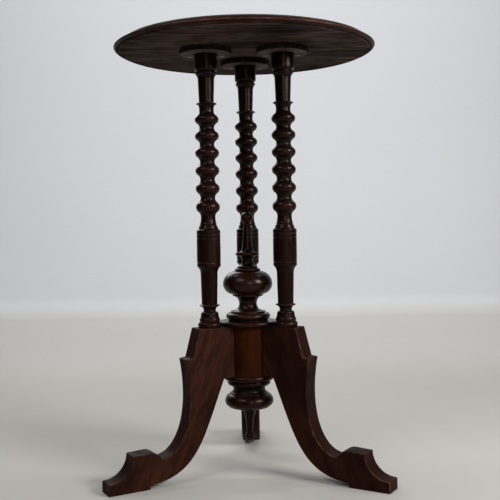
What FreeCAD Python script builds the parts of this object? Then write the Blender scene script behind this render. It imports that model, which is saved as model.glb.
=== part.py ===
import FreeCAD, Part
import math
import os

from FreeCAD import Vector

# Lamp table: a round two-board top on three bobbin-turned columns, which stand on
# three sawn scroll legs dovetailed to a turned hub with a finial and a pendant.
# Millimetres, +Z up. The origin is on the floor, midway between the three feet,
# and the rear leg points along +Y.

# Three-fold layout, anticlockwise from the rear leg, in degrees from +X
leg_names = ("rear", "left", "right")
rear_angle = 90.0
leg_angles = {name: rear_angle + i * 360 / len(leg_names) for i, name in enumerate(leg_names)}

# Fits and cuts
tenon_clearance = 0.25
tenon_end_gap = 0.5
dovetail_clearance = 0.2
screw_clearance = 0.1
cut_overrun = 4.0
round_weight = math.sqrt(0.5)
upright = Vector(0, 0, 1)
level = Vector(1, 0, 0)

# Table top, two boards joined on edge
top_radius = 225.0
top_thickness = 16.0
under_fillet_height = 1.2
under_round_width = 9.0
under_round_height = 4.3
lip_height = 1.5
lip_step = 8.0
thumb_fillet_height = 1.5
thumb_width = 10.0
board_joint_offset = -8.0
board_dowel_radius = 4.0
board_dowel_length = 40.0
board_dowel_spacing = 110.0
board_dowel_count = 4

# Round plates that tie the columns to the top, and their screws
plate_radius = 44.0
plate_thickness = 9.5
plate_fillet_height = 6.5
plate_round_width = 1.6
screws_per_plate = 3
screw_start_angle = 60.0
screw_length = 18.0
screw_head_radius = 3.6
screw_rim_height = 0.5
screw_head_height = 2.6
screw_shank_radius = 1.75
screw_tip_length = 4.0

# Column foot: two beads, a bell and a narrow neck
foot_bead_height = 9.0
foot_bead_radius = 20.3
foot_bead_root = 18.2
upper_bead_height = 7.7
upper_bead_radius = 17.6
upper_bead_root = 16.2
foot_bell_height = 7.3
foot_bell_radius = 15.9
foot_bell_top_radius = 14.8
foot_shoulder_height = 2.8
foot_shoulder_radius = 12.4
foot_neck_height = 2.4
foot_neck_radius = 10.4

# The two collars, one below each shaft
collar_cove_height = 6.6
collar_cove_radius = 14.1
collar_slope_height = 1.6
collar_edge_height = 1.0
collar_edge_radius = 17.4
collar_top_height = 1.8
collar_top_radius = 13.9

# Lower shaft and barrel with scribed rings
lower_shaft_height = 52.8
lower_shaft_radius = 13.4
lower_shaft_top_radius = 14.6
barrel_flare_height = 12.0
barrel_radius = 20.3
barrel_belly_height = 39.7
scribe_width = 1.6
scribe_depth = 0.8
scribe_margin = 5.5
barrel_chamfer_height = 3.0
barrel_chamfer_radius = 16.9
barrel_shoulder_height = 5.6
barrel_shoulder_radius = 15.1
barrel_bead_height = 4.6
barrel_bead_radius = 14.3
barrel_bead_root = 13.4
barrel_neck_height = 10.5

# Bobbins, from the lowest up
bobbin_radius = 20.4
bobbin_neck_radius = 12.4
bobbin_heights = (32.0, 30.9, 30.0, 29.8, 28.6, 27.5)

# Upper shaft and cap
upper_neck_height = 3.8
upper_shaft_height = 39.0
upper_shaft_radius = 12.6
upper_shaft_top_radius = 14.0
ring_cove_height = 7.0
ring_cove_radius = 16.4
ring_bead_height = 5.0
ring_bead_radius = 18.0
quirk_height = 1.5
quirk_radius = 15.6
cap_round_height = 4.5
cap_radius = 19.3
cap_height = 23.7
column_tenon_radius = 8.0
foot_tenon_length = 38.0

# Hub between the legs
hub_floor_height = 168.5
hub_height = 88.0
hub_radius = 40.0
dovetail_depth = 13.0
dovetail_neck_width = 11.0
dovetail_back_width = 17.0
dovetail_stop = 10.0

# Disc that caps the hub
disc_height = 7.0
disc_radius = 51.0
disc_edge_root = 49.0
disc_column_gap = 4.0

# Finial vase: torus, cove and flattened bulb
vase_quirk_height = 3.0
vase_quirk_radius = 34.5
vase_torus_height = 10.5
vase_torus_radius = 38.8
vase_fillet_height = 3.5
vase_fillet_radius = 30.3
vase_cove_height = 26.5
vase_cove_waist = 15.4
vase_cove_radius = 24.6
vase_band_height = 3.0
vase_band_radius = 26.8
bulb_lower_height = 18.5
bulb_upper_height = 22.0
bulb_root = 27.0
bulb_radius = 43.4
bulb_top_radius = 20.5
vase_ring_height = 4.5
vase_ring_radius = 22.5
hub_tenon_radius = 9.0
hub_tenon_length = 30.0

# Finial spire: flared disc, slim taper and ball
spire_bead_height = 4.0
spire_bead_radius = 18.0
spire_bead_root = 16.8
spire_cove_height = 9.0
spire_neck_radius = 9.7
spire_flare_height = 9.7
spire_flare_radius = 19.4
spire_rim_height = 5.4
spire_rim_radius = 20.6
spire_shoulder_height = 9.0
spire_shoulder_radius = 14.2
spire_taper_radius = 9.0
spire_taper_height = 41.8
spire_tip_radius = 5.2
spire_ball_radius = 10.6
spire_tenon_radius = 6.5
spire_tenon_length = 24.0

# Pendant under the hub, from its lower end up
pendant_base_radius = 27.0
pendant_base_height = 2.6
pendant_fillet_height = 1.5
pendant_fillet_radius = 36.4
pendant_bulb_root = 37.6
pendant_bulb_lower_height = 8.0
pendant_bulb_upper_height = 13.0
pendant_bulb_radius = 42.7
pendant_bulb_top_radius = 34.6
pendant_band_height = 2.0
pendant_band_radius = 32.6
pendant_waist_radius = 27.9
pendant_waist_lower_height = 6.7
pendant_waist_upper_height = 6.8
pendant_bead_root = 34.6
pendant_bead_height = 10.0
pendant_bead_radius = 38.0
pendant_disc_root = 42.4
pendant_disc_height = 8.0
pendant_disc_radius = 44.0

# Drop under the pendant, from its tenon down
drop_tenon_radius = 5.0
drop_tenon_length = 18.0
drop_top_radius = 12.3
drop_stem_height = 44.9
drop_stem_radius = 5.2
drop_ball_radius = 8.4

# Scroll legs, sawn from flat plank
leg_thickness = 34.0
leg_reach = 268.0
leg_top_margin = 6.4
block_height = 48.5
block_flare = 13.5
ear_projection = 11.5
ear_drop = 1.5
foot_length = 72.0
heel_step = 6.5
toe_height = 19.0
toe_nose = 3.0
toe_cove_length = 39.5
hump_length = 31.5
hump_height = 60.0
hump_fall = 1.5
hump_rise_length = 19.0
saddle_height = 47.5
knee_length = 21.5

# Handles of the two long leg curves, as shares of each curve's run and fall
shin_upper_run_share = -0.39
shin_upper_fall_share = 0.62
shin_lower_run_share = 0.77
calf_upper_run_share = 0.30
calf_upper_fall_share = 0.62
calf_lower_run_share = 0.62
calf_lower_rise_share = 0.04
hump_corner_share = 0.35

# Sizes that follow from the others
leg_height = hub_floor_height + hub_height
tongue_top = leg_height - dovetail_stop
hub_flat = math.sqrt(hub_radius ** 2 - (leg_thickness / 2) ** 2)
column_circle = disc_radius + disc_column_gap + foot_bead_radius
plate_screw_circle = (cap_radius + plate_radius) / 2
head_tenon_length = plate_thickness - tenon_end_gap


class Outline:
    """Half outline of a turned piece, followed upward along its axis."""

    def __init__(self, radius):
        self.radius = radius
        self.height = 0
        self.edges = []
        if radius > 0:
            self.edges.append(Part.LineSegment(Vector(), Vector(radius, 0, 0)).toShape())

    def point(self):
        return Vector(self.radius, 0, self.height)

    def move(self, height, radius):
        self.height += height
        self.radius = radius

    def rise(self, height, radius=None):
        """Straight stretch, tapering when a new radius is given."""
        start = self.point()
        self.move(height, self.radius if radius is None else radius)
        if self.point() != start:
            self.edges.append(Part.LineSegment(start, self.point()).toShape())

    def step(self, radius):
        """Level shoulder in or out to a new radius."""
        self.rise(0, radius)

    def to_upright(self, height, radius):
        """Arc that turns upright at its end, or that leaves level where it is wider than high."""
        start = self.point()
        self.move(height, radius)
        if height < abs(radius - start.x):
            self.edges.append(tangent_arc(start, level, self.point()))
        else:
            self.edges.append(tangent_arc(self.point(), upright, start))

    def to_level(self, height, radius):
        """Arc that leaves upright, or that turns level at its end where it is wider than high."""
        start = self.point()
        self.move(height, radius)
        if height < abs(radius - start.x):
            self.edges.append(tangent_arc(self.point(), level, start))
        else:
            self.edges.append(tangent_arc(start, upright, self.point()))

    def bead(self, height, radius):
        """Round that swells, or hollow that sinks, to a radius and comes back."""
        start = self.point()
        crest = Vector(radius, 0, self.height + height / 2)
        self.move(height, self.radius)
        self.edges.append(Part.Arc(start, crest, self.point()).toShape())

    def bobbin(self, height, radius):
        """Round that flows into half a hollow on either side."""
        neck = self.radius
        flank = (neck + radius) / 2
        self.to_level(height / 4, flank)
        self.bead(height / 2, radius)
        self.to_upright(height / 4, neck)

    def ball(self, radius):
        """Round knob on the end of a stem."""
        start = self.point()
        reach = math.sqrt(radius ** 2 - self.radius ** 2)
        equator = Vector(radius, 0, self.height + reach)
        self.move(reach + radius, 0)
        self.edges.append(Part.Arc(start, equator, self.point()).toShape())

    def scribe(self):
        """Incised ring with a V section."""
        surface = self.radius
        self.rise(scribe_width / 2, surface - scribe_depth)
        self.rise(scribe_width / 2, surface)

    def solid(self):
        """Close the outline on its axis and turn it."""
        edges = list(self.edges)
        end = Vector(0, 0, self.height)
        if self.radius > 0:
            edges.append(Part.LineSegment(self.point(), end).toShape())
        edges.append(Part.LineSegment(end, Vector()).toShape())
        face = Part.Face(Part.Wire(edges))
        return face.revolve(Vector(), Vector(0, 0, 1), 360)


def tangent_arc(touch, direction, other):
    """Arc between two points that is tangent at the first to a direction."""
    chord = other - touch
    across = chord - direction * chord.dot(direction)
    centre = touch + across * (chord.dot(chord) / (2 * across.dot(across)))
    spoke = (touch + other) / 2 - centre
    middle = centre + spoke * (centre.distanceToPoint(touch) / spoke.Length)
    return Part.Arc(touch, middle, other).toShape()


def bezier(*poles):
    curve = Part.BezierCurve()
    curve.setPoles(list(poles))
    return curve.toShape()


def rounded(start, corner, end):
    """Curve that is tangent at its ends to both sides of its corner."""
    curve = Part.BezierCurve()
    curve.setPoles([start, corner, end])
    curve.setWeight(2, round_weight)
    return curve.toShape()


def raised(shape, height):
    return shape.translated(Vector(0, 0, height))


def turned_about_axis(shape, angle):
    """Turn a piece drawn along +X to another direction round the table's axis."""
    return shape.rotated(Vector(), Vector(0, 0, 1), angle)


def on_column(shape, angle):
    """Move a piece drawn on the table's axis to one of the three columns."""
    return turned_about_axis(shape.translated(Vector(column_circle, 0, 0)), angle)


def bored(shape, radius, bottom, depth):
    """Drill a plain hole on the axis, for a tenon of the given radius."""
    return shape.cut(raised(Part.makeCylinder(radius + tenon_clearance, depth), bottom))


def collar(line):
    """Cove and thin projecting edge, as a turner cuts them under a shaft."""
    line.to_level(collar_cove_height, collar_cove_radius)
    line.rise(collar_slope_height, collar_edge_radius)
    line.rise(collar_edge_height)
    line.rise(collar_top_height, collar_top_radius)


def column_outline():
    line = Outline(column_tenon_radius)
    line.rise(foot_tenon_length)
    line.step(foot_bead_root)
    line.bead(foot_bead_height, foot_bead_radius)
    line.step(upper_bead_root)
    line.bead(upper_bead_height, upper_bead_radius)
    line.step(foot_bell_radius)
    line.rise(foot_bell_height, foot_bell_top_radius)
    line.to_level(foot_shoulder_height, foot_shoulder_radius)
    line.to_upright(foot_neck_height, foot_neck_radius)
    collar(line)
    line.step(lower_shaft_radius)
    line.rise(lower_shaft_height, lower_shaft_top_radius)
    line.to_level(barrel_flare_height, barrel_radius)
    line.rise(scribe_margin)
    line.scribe()
    line.rise(barrel_belly_height)
    line.scribe()
    line.rise(scribe_margin)
    line.scribe()
    line.rise(scribe_margin)
    line.rise(barrel_chamfer_height, barrel_chamfer_radius)
    line.rise(barrel_shoulder_height, barrel_shoulder_radius)
    line.step(barrel_bead_root)
    line.bead(barrel_bead_height, barrel_bead_radius)
    line.to_upright(barrel_neck_height, bobbin_neck_radius)
    for height in bobbin_heights:
        line.bobbin(height, bobbin_radius)
    line.rise(upper_neck_height)
    collar(line)
    line.step(upper_shaft_radius)
    line.rise(upper_shaft_height, upper_shaft_top_radius)
    line.to_level(ring_cove_height, ring_cove_radius)
    line.bead(ring_bead_height, ring_bead_radius)
    line.step(quirk_radius)
    line.rise(quirk_height)
    line.to_upright(cap_round_height, cap_radius)
    line.rise(cap_height)
    return line


def column_solid(line):
    line.step(column_tenon_radius)
    line.rise(head_tenon_length)
    return raised(line.solid(), leg_height - foot_tenon_length)


def screw_outline(clearance):
    """A countersunk screw, or with a clearance the hole that takes it."""
    line = Outline(screw_head_radius + clearance)
    line.rise(screw_rim_height)
    line.rise(screw_head_height, screw_shank_radius + clearance)
    line.rise(screw_length - screw_rim_height - screw_head_height - screw_tip_length)
    line.rise(screw_tip_length + clearance, 0)
    return line


def placed_screws(shape, underside):
    """One column's ring of screws, in from the underside of its plate."""
    spot = Vector(plate_screw_circle, 0, underside)
    turns = [screw_start_angle + i * 360 / screws_per_plate for i in range(screws_per_plate)]
    return [turned_about_axis(shape.translated(spot), turn) for turn in turns]


def plate_solid(underside):
    line = Outline(plate_radius - plate_round_width)
    line.to_upright(plate_thickness - plate_fillet_height, plate_radius)
    line.rise(plate_fillet_height)
    plate = raised(line.solid(), underside)
    return bored(plate, column_tenon_radius, underside - cut_overrun, plate_thickness + 2 * cut_overrun)


def top_solid(underside):
    line = Outline(top_radius - under_round_width)
    line.rise(under_fillet_height)
    line.to_upright(under_round_height, top_radius)
    line.rise(lip_height)
    line.step(top_radius - lip_step)
    line.rise(thumb_fillet_height)
    line.to_level(top_thickness - line.height, top_radius - lip_step - thumb_width)
    return raised(line.solid(), underside)


def board_dowels(radius, length, middle_height):
    """A row of dowels across the joint between the two boards."""
    row = []
    for i in range(board_dowel_count):
        x = (i - (board_dowel_count - 1) / 2) * board_dowel_spacing
        start = Vector(x, board_joint_offset - length / 2, middle_height)
        row.append(Part.makeCylinder(radius, length, start, Vector(0, 1, 0)))
    return row


def half_space(front, low, high):
    """Block that holds everything in front of, or behind, the joint of the boards."""
    side = top_radius + cut_overrun
    if front:
        y, depth = -side, side + board_joint_offset
    else:
        y, depth = board_joint_offset, side - board_joint_offset
    return Part.makeBox(2 * side, depth, high - low, Vector(-side, y, low))


def between(start, end, run_share, fall_share):
    """Point a share of the run and of the fall on from start towards end."""
    run = (end.x - start.x) * run_share
    return Vector(start.x + run, 0, start.z + (end.z - start.z) * fall_share)


def leg_profile():
    """Sawn outline of a leg, with X along its reach."""
    block_reach = column_circle + foot_bead_radius + leg_top_margin
    notch_height = leg_height - block_height
    inner_top = Vector(hub_flat, 0, leg_height)
    outer_top = Vector(block_reach, 0, leg_height)
    notch = Vector(block_reach + block_flare, 0, notch_height)
    ear = Vector(notch.x + ear_projection, 0, notch_height - ear_drop)
    toe_top = Vector(leg_reach - toe_nose, 0, toe_height)
    hump_end = Vector(toe_top.x - toe_cove_length, 0, hump_height - hump_fall)
    hump_start = Vector(hump_end.x - hump_length, 0, hump_height)
    saddle = Vector(hump_start.x - hump_rise_length, 0, saddle_height)
    hump_corner = between(saddle, hump_start, hump_corner_share, 1)
    heel = Vector(leg_reach - foot_length, 0, heel_step)
    knee = Vector(hub_flat + knee_length, 0, hub_floor_height)
    toe_front = Vector(leg_reach, 0, toe_height - toe_nose)
    shin = (between(ear, saddle, shin_upper_run_share, shin_upper_fall_share),
            between(saddle, ear, shin_lower_run_share, 0))
    calf = (between(heel, knee, calf_lower_run_share, calf_lower_rise_share),
            between(knee, heel, calf_upper_run_share, calf_upper_fall_share))
    edges = [Part.LineSegment(inner_top, outer_top).toShape(),
             Part.LineSegment(outer_top, notch).toShape(),
             Part.LineSegment(notch, ear).toShape(),
             bezier(ear, *shin, saddle),
             rounded(saddle, hump_corner, hump_start),
             Part.LineSegment(hump_start, hump_end).toShape(),
             rounded(hump_end, Vector(hump_end.x, 0, toe_height), toe_top),
             rounded(toe_top, Vector(leg_reach, 0, toe_height), toe_front),
             Part.LineSegment(toe_front, Vector(leg_reach, 0, 0)).toShape(),
             Part.LineSegment(Vector(leg_reach, 0, 0), Vector(heel.x, 0, 0)).toShape(),
             Part.LineSegment(Vector(heel.x, 0, 0), heel).toShape(),
             bezier(heel, *calf, knee),
             Part.LineSegment(knee, Vector(hub_flat, 0, hub_floor_height)).toShape(),
             Part.LineSegment(Vector(hub_flat, 0, hub_floor_height), inner_top).toShape()]
    return Part.Face(Part.Wire(edges))


def dovetail(clearance, end_gap, mouth, bottom, top):
    """Tongue along the leg's inner end, or with clearances the slot that takes it."""
    neck = dovetail_neck_width / 2 + clearance
    back = dovetail_back_width / 2 + clearance
    inner = hub_flat - dovetail_depth - end_gap
    corners = [(hub_flat + mouth, -neck), (hub_flat, -neck), (inner, -back),
               (inner, back), (hub_flat, neck), (hub_flat + mouth, neck)]
    points = [Vector(x, y, bottom) for x, y in corners]
    face = Part.Face(Part.makePolygon(points + points[:1]))
    return face.extrude(Vector(0, 0, top - bottom))


def leg_solid():
    plank = leg_profile().extrude(Vector(0, leg_thickness, 0))
    plank = plank.translated(Vector(0, -leg_thickness / 2, 0))
    tongue = dovetail(0, 0, cut_overrun, hub_floor_height, tongue_top)
    leg = plank.fuse(tongue).removeSplitter()
    depth = foot_tenon_length + tenon_end_gap
    hole = Part.makeCylinder(column_tenon_radius + tenon_clearance, depth + cut_overrun)
    return leg.cut(hole.translated(Vector(column_circle, 0, leg_height - depth)))


def hub_solid():
    hub = Part.makeCylinder(hub_radius, hub_height, Vector(0, 0, hub_floor_height))
    width = 2 * hub_radius
    corner = Vector(hub_flat, -hub_radius, hub_floor_height - cut_overrun)
    flat = Part.makeBox(hub_radius, width, hub_height + 2 * cut_overrun, corner)
    slot = dovetail(dovetail_clearance, tenon_end_gap, cut_overrun,
                    hub_floor_height - cut_overrun, tongue_top + tenon_end_gap)
    for angle in leg_angles.values():
        hub = hub.cut(turned_about_axis(flat, angle))
        hub = hub.cut(turned_about_axis(slot, angle))
    depth = hub_tenon_length + tenon_end_gap
    hub = bored(hub, hub_tenon_radius, leg_height - depth, depth + cut_overrun)
    return bored(hub, hub_tenon_radius, hub_floor_height - cut_overrun, depth + cut_overrun)


def disc_solid():
    line = Outline(disc_edge_root)
    line.bead(disc_height, disc_radius)
    disc = raised(line.solid(), leg_height)
    return bored(disc, hub_tenon_radius, leg_height - cut_overrun, disc_height + 2 * cut_overrun)


def vase_outline():
    line = Outline(hub_tenon_radius)
    line.rise(hub_tenon_length + disc_height)
    line.step(vase_quirk_radius)
    line.rise(vase_quirk_height)
    line.bead(vase_torus_height, vase_torus_radius)
    line.step(vase_fillet_radius)
    line.rise(vase_fillet_height)
    line.step(vase_cove_radius)
    line.bead(vase_cove_height, vase_cove_waist)
    line.step(vase_band_radius)
    line.rise(vase_band_height)
    line.step(bulb_root)
    line.to_upright(bulb_lower_height, bulb_radius)
    line.to_level(bulb_upper_height, bulb_top_radius)
    line.bead(vase_ring_height, vase_ring_radius)
    return line


def vase_solid(line):
    vase = raised(line.solid(), leg_height - hub_tenon_length)
    top = leg_height - hub_tenon_length + line.height
    depth = spire_tenon_length + tenon_end_gap
    return bored(vase, spire_tenon_radius, top - depth, depth + cut_overrun)


def spire_solid(seat):
    line = Outline(spire_tenon_radius)
    line.rise(spire_tenon_length)
    line.step(spire_bead_root)
    line.bead(spire_bead_height, spire_bead_radius)
    line.to_upright(spire_cove_height, spire_neck_radius)
    line.to_level(spire_flare_height, spire_flare_radius)
    line.bead(spire_rim_height, spire_rim_radius)
    line.step(spire_shoulder_radius)
    line.to_upright(spire_shoulder_height, spire_taper_radius)
    line.rise(spire_taper_height, spire_tip_radius)
    line.ball(spire_ball_radius)
    return raised(line.solid(), seat - spire_tenon_length)


def pendant_outline():
    line = Outline(pendant_base_radius)
    line.to_upright(pendant_base_height, pendant_fillet_radius)
    line.rise(pendant_fillet_height)
    line.step(pendant_bulb_root)
    line.to_upright(pendant_bulb_lower_height, pendant_bulb_radius)
    line.to_level(pendant_bulb_upper_height, pendant_bulb_top_radius)
    line.step(pendant_band_radius)
    line.rise(pendant_band_height)
    line.to_upright(pendant_waist_lower_height, pendant_waist_radius)
    line.to_level(pendant_waist_upper_height, pendant_bead_root)
    line.bead(pendant_bead_height, pendant_bead_radius)
    line.step(pendant_disc_root)
    line.bead(pendant_disc_height, pendant_disc_radius)
    return line


def pendant_solid(line):
    seat = hub_floor_height - line.height
    line.step(hub_tenon_radius)
    line.rise(hub_tenon_length)
    depth = drop_tenon_length + tenon_end_gap
    pendant = raised(line.solid(), seat)
    return bored(pendant, drop_tenon_radius, seat - cut_overrun, depth + cut_overrun)


def drop_solid(seat):
    """Drawn from the tenon to the ball, then turned over to hang."""
    line = Outline(drop_tenon_radius)
    line.rise(drop_tenon_length)
    line.step(drop_top_radius)
    line.to_upright(drop_stem_height, drop_stem_radius)
    line.ball(drop_ball_radius)
    hanging = line.solid().rotated(Vector(), level, 180)
    return raised(hanging, seat + drop_tenon_length)


nodes = {}

# Base: hub, disc, finial and pendant on the axis
nodes["hub"] = hub_solid()
nodes["hub_disc"] = disc_solid()
vase = vase_outline()
nodes["finial_vase"] = vase_solid(vase)
nodes["finial_spire"] = spire_solid(leg_height - hub_tenon_length + vase.height)
pendant = pendant_outline()
nodes["pendant_drop"] = drop_solid(hub_floor_height - pendant.height)
nodes["pendant"] = pendant_solid(pendant)

# Legs, columns and plates, three alike
column = column_outline()
plate_underside = leg_height - foot_tenon_length + column.height
top_underside = plate_underside + plate_thickness
leg_shape = leg_solid()
column_shape = column_solid(column)
screw = screw_outline(0).solid()
screw_hole = screw_outline(screw_clearance).solid()
screw_holes = placed_screws(screw_hole, plate_underside)
plate_shape = plate_solid(plate_underside).cut(Part.makeCompound(screw_holes))
all_screws = []
all_holes = []
for name, angle in leg_angles.items():
    nodes[name + "_leg"] = turned_about_axis(leg_shape, angle)
    nodes[name + "_column"] = on_column(column_shape, angle)
    nodes[name + "_plate"] = on_column(plate_shape, angle)
    all_screws += [on_column(shape, angle) for shape in placed_screws(screw, plate_underside)]
    all_holes += [on_column(shape, angle) for shape in screw_holes]
nodes["plate_screws"] = Part.makeCompound(all_screws)

# Top: one moulded round, parted at the joint, drilled for its dowels and screws
dowel_height = top_underside + top_thickness / 2
dowels = board_dowels(board_dowel_radius, board_dowel_length, dowel_height)
dowel_holes = board_dowels(board_dowel_radius + tenon_clearance,
                           board_dowel_length + 2 * tenon_end_gap, dowel_height)
top = top_solid(top_underside).cut(Part.makeCompound(all_holes + dowel_holes))
low = top_underside - cut_overrun
high = top_underside + top_thickness + cut_overrun
nodes["top_front_board"] = top.common(half_space(True, low, high))
nodes["top_rear_board"] = top.common(half_space(False, low, high))
nodes["top_dowels"] = Part.makeCompound(dowels)

os.makedirs("parts", exist_ok=True)
for name, shape in nodes.items():
    shape.exportStep("parts/" + name + ".step")
print(len(nodes), "nodes, height", round(top_underside + top_thickness, 2))
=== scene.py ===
# %% [markdown]
# # A lamp table with bobbin-turned columns
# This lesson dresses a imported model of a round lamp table. The model gives every piece its
# place and size. Here each piece is made again with soft arrises, wood grain and old polish,
# and then it is lit as in a small studio. Sizes are written in millimetres, as on a
# workshop drawing, and are turned into metres when a mesh is made.

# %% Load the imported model
import math

import bmesh
import bpy
from mathutils import Matrix, Vector


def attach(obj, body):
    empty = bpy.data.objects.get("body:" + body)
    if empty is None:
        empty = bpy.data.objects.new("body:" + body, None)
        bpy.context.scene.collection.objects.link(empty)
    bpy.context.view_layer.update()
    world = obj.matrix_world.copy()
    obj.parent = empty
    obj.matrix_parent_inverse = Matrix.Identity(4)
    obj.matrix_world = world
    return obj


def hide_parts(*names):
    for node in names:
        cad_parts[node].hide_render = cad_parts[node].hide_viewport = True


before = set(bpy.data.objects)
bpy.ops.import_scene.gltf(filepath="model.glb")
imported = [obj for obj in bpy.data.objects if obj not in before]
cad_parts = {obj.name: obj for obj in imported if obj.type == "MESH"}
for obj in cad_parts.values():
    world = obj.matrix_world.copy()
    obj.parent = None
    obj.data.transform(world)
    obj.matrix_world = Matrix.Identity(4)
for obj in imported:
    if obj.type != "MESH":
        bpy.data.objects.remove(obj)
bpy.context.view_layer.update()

MM = 0.001


def show(name, data):
    """A new object in the scene, at its origin, of a mesh, a lamp or a camera."""
    made = bpy.data.objects.new(name, data)
    bpy.context.scene.collection.objects.link(made)
    return made


print("packed nodes:", len(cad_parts))

# %% [markdown]
# ## Arcs
# Beads and coves on a lathe are cut by rolling or swinging a tool, so they are arcs of
# circles. They could be splines with handles, but an arc needs only its two ends and the
# direction that it leaves one of them in, and those can be measured on the real piece.

# %% Draw an arc
ARC_STEP = math.radians(9)


def arc_points(touch, direction, other):
    """Points on the arc from touch to other that is tangent to a direction at touch."""
    chord = other - touch
    across = chord - direction * chord.dot(direction)
    centre = touch + across * (chord.dot(chord) / (2 * across.dot(across)))
    start, end = touch - centre, other - centre
    turn = start.angle_signed(end)
    steps = max(2, math.ceil(abs(turn) / ARC_STEP))
    return [centre + Matrix.Rotation(-turn * i / steps, 2) @ start for i in range(steps + 1)]


print("an arc of a quarter turn has", math.ceil(math.radians(90) / ARC_STEP), "steps")

# %% [markdown]
# ## A turner's outline
# A lathe makes a shape that is round about one axis, so half of its outline says everything.
# The class below follows that outline upward, one bead, cove or fillet at a time, with the
# words that a turner uses, and each cut can be followed by the next. A list of points would
# do the same, but nobody could read it.

# %% Follow an outline
class Outline:
    """Half outline of a turned piece: (radius, height) points in millimetres."""

    def __init__(self, radius):
        self.points = [Vector((radius, 0.0))]

    def rise(self, height, radius=None):
        last = self.points[-1]
        self.points.append(Vector((last.x if radius is None else radius, last.y + height)))
        return self

    def step(self, radius):
        return self.rise(0.0, radius)

    def curve(self, height, radius, ends_upright):
        """An arc that ends upright or level. Its flatter end is the one it is tangent at."""
        start = self.points[-1].copy()
        end = Vector((radius, start.y + height))
        wide = height < abs(radius - start.x)
        direction = Vector((1, 0)) if wide else Vector((0, 1))
        if wide == ends_upright:
            self.points += arc_points(start, direction, end)[1:]
        else:
            self.points += arc_points(end, direction, start)[-2::-1]
        return self

    def to_upright(self, height, radius):
        return self.curve(height, radius, True)

    def to_level(self, height, radius):
        return self.curve(height, radius, False)

    def bead(self, height, radius):
        root = self.points[-1].x
        return self.to_upright(height / 2, radius).to_level(height / 2, root)

    def ball(self, radius):
        reach = math.sqrt(radius ** 2 - self.points[-1].x ** 2)
        return self.to_upright(reach, radius).to_level(radius, 0.0)

    def scribe(self, width, depth):
        surface = self.points[-1].x
        return self.rise(width / 2, surface - depth).rise(width / 2, surface)


sample = Outline(10.0).bead(6.0, 13.0)
print("a bead has", len(sample.points), "points")

# %% [markdown]
# ## Soft arrises
# No edge on an old table is sharp: hands and dusters round it. `softened` swaps each corner
# of an outline for a small round. A Bevel modifier could do it on the finished mesh, but on
# the outline it costs a few points only, and it can't go wrong where edges meet.

# %% Soften corners
CORNER_ANGLE = math.radians(150)
SAME_PLACE = 1e-6
LARGEST_SHARE = 0.42
ROUND_STEPS = (0.0, 0.33, 0.67, 1.0)


def corners_of(points, closed=False):
    """Places in an outline where it turns by more than thirty degrees."""
    found = []
    for i, here in enumerate(points):
        if not closed and i in (0, len(points) - 1):
            continue
        back, ahead = points[i - 1] - here, points[(i + 1) % len(points)] - here
        if back.angle(ahead) < CORNER_ANGLE:
            found.append(i)
    return found


def softened(points, radius, closed=False, corners=None):
    """The same outline with a small round in place of each corner."""
    if corners is None:
        points = [p for i, p in enumerate(points)
                  if i == 0 or (p - points[i - 1]).length > SAME_PLACE]
        corners = corners_of(points, closed)
    result = []
    for i, here in enumerate(points):
        if i not in corners:
            result.append(here)
            continue
        back, ahead = points[i - 1] - here, points[(i + 1) % len(points)] - here
        reach = min(radius, LARGEST_SHARE * back.length, LARGEST_SHARE * ahead.length)
        start, end = here + back.normalized() * reach, here + ahead.normalized() * reach
        for t in ROUND_STEPS:
            result.append(start.lerp(here, t).lerp(here.lerp(end, t), t))
    return result


corner = [Vector((0, 0)), Vector((10, 0)), Vector((10, 10))]
print("a softened corner has", len(softened(corner, 0.5)), "points")

# %% [markdown]
# ## Where polish wears
# Dusters rub dark polish thin on arrises and leave wax and dust in hollows. `bends` measures
# how sharply an outline turns at every point, outward as positive and inward as negative.
# That number goes onto the mesh as an attribute, and the finish reads it later: for wear
# and wax, and also to paint crests lighter and hollows darker, as painted highlight and
# painted shade. A Pointiness node could find edges too, but it hangs on how fine the mesh is.

# %% Measure bends
BEND_GAIN = 1.1
SHORTEST_SIDE = 0.05


def bends(points, closed=False):
    """How sharply the outline turns at each point, from -1 in a hollow to 1 on an arris."""
    count = len(points)
    values = []
    for i, here in enumerate(points):
        if not closed and i in (0, count - 1):
            values.append(0.0)
            continue
        back, ahead = here - points[i - 1], points[(i + 1) % count] - here
        turn = -back.angle_signed(ahead) if back.length and ahead.length else 0.0
        side = max(0.5 * (back.length + ahead.length), SHORTEST_SIDE)
        values.append(math.tanh(BEND_GAIN * turn / side))
    return values


def eased(points, values, reach):
    """Outline points with extra ones beside each rubbed corner, so that the rub fades out."""
    rows = []
    for i, (here, value) in enumerate(zip(points, values)):
        rows.append((here, value))
        if i + 1 == len(points):
            continue
        after = points[i + 1]
        span = (after - here).length
        if span > 2.5 * reach:
            rows.append((here.lerp(after, reach / span), 0.0))
            rows.append((here.lerp(after, 1 - reach / span), 0.0))
    return rows


print("rub of that corner:", [round(value, 2) for value in bends(softened(corner, 0.5))])

# %% [markdown]
# ## From an outline to rings
# Blender has a Spin operator and a Screw modifier for this. Writing the rings out by hand
# gives a clean grid with closed ends, and it carries the rub of each row along.

# %% Spin an outline
SIDES = 88
SOFT = 0.45
RUB_REACH = 1.6


def lathe_grid(rows, sides=SIDES):
    """Vertices, faces and rub of an outline turned about its axis; ends on the axis close."""
    vertices, faces, rub, rings = [], [], [], []
    for point, value in rows:
        count = 1 if point.x < SAME_PLACE else sides
        rings.append((len(vertices), count))
        for k in range(count):
            angle = 2 * math.pi * k / sides
            vertices.append((point.x * math.cos(angle), point.x * math.sin(angle), point.y))
            rub.append(value)
    for (low, low_count), (high, high_count) in zip(rings, rings[1:]):
        for k in range(sides):
            after = (k + 1) % sides
            if low_count == 1:
                faces.append((low, high + after, high + k))
            elif high_count == 1:
                faces.append((low + k, low + after, high))
            else:
                faces.append((low + k, low + after, high + after, high + k))
    return vertices, faces, rub


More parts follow.
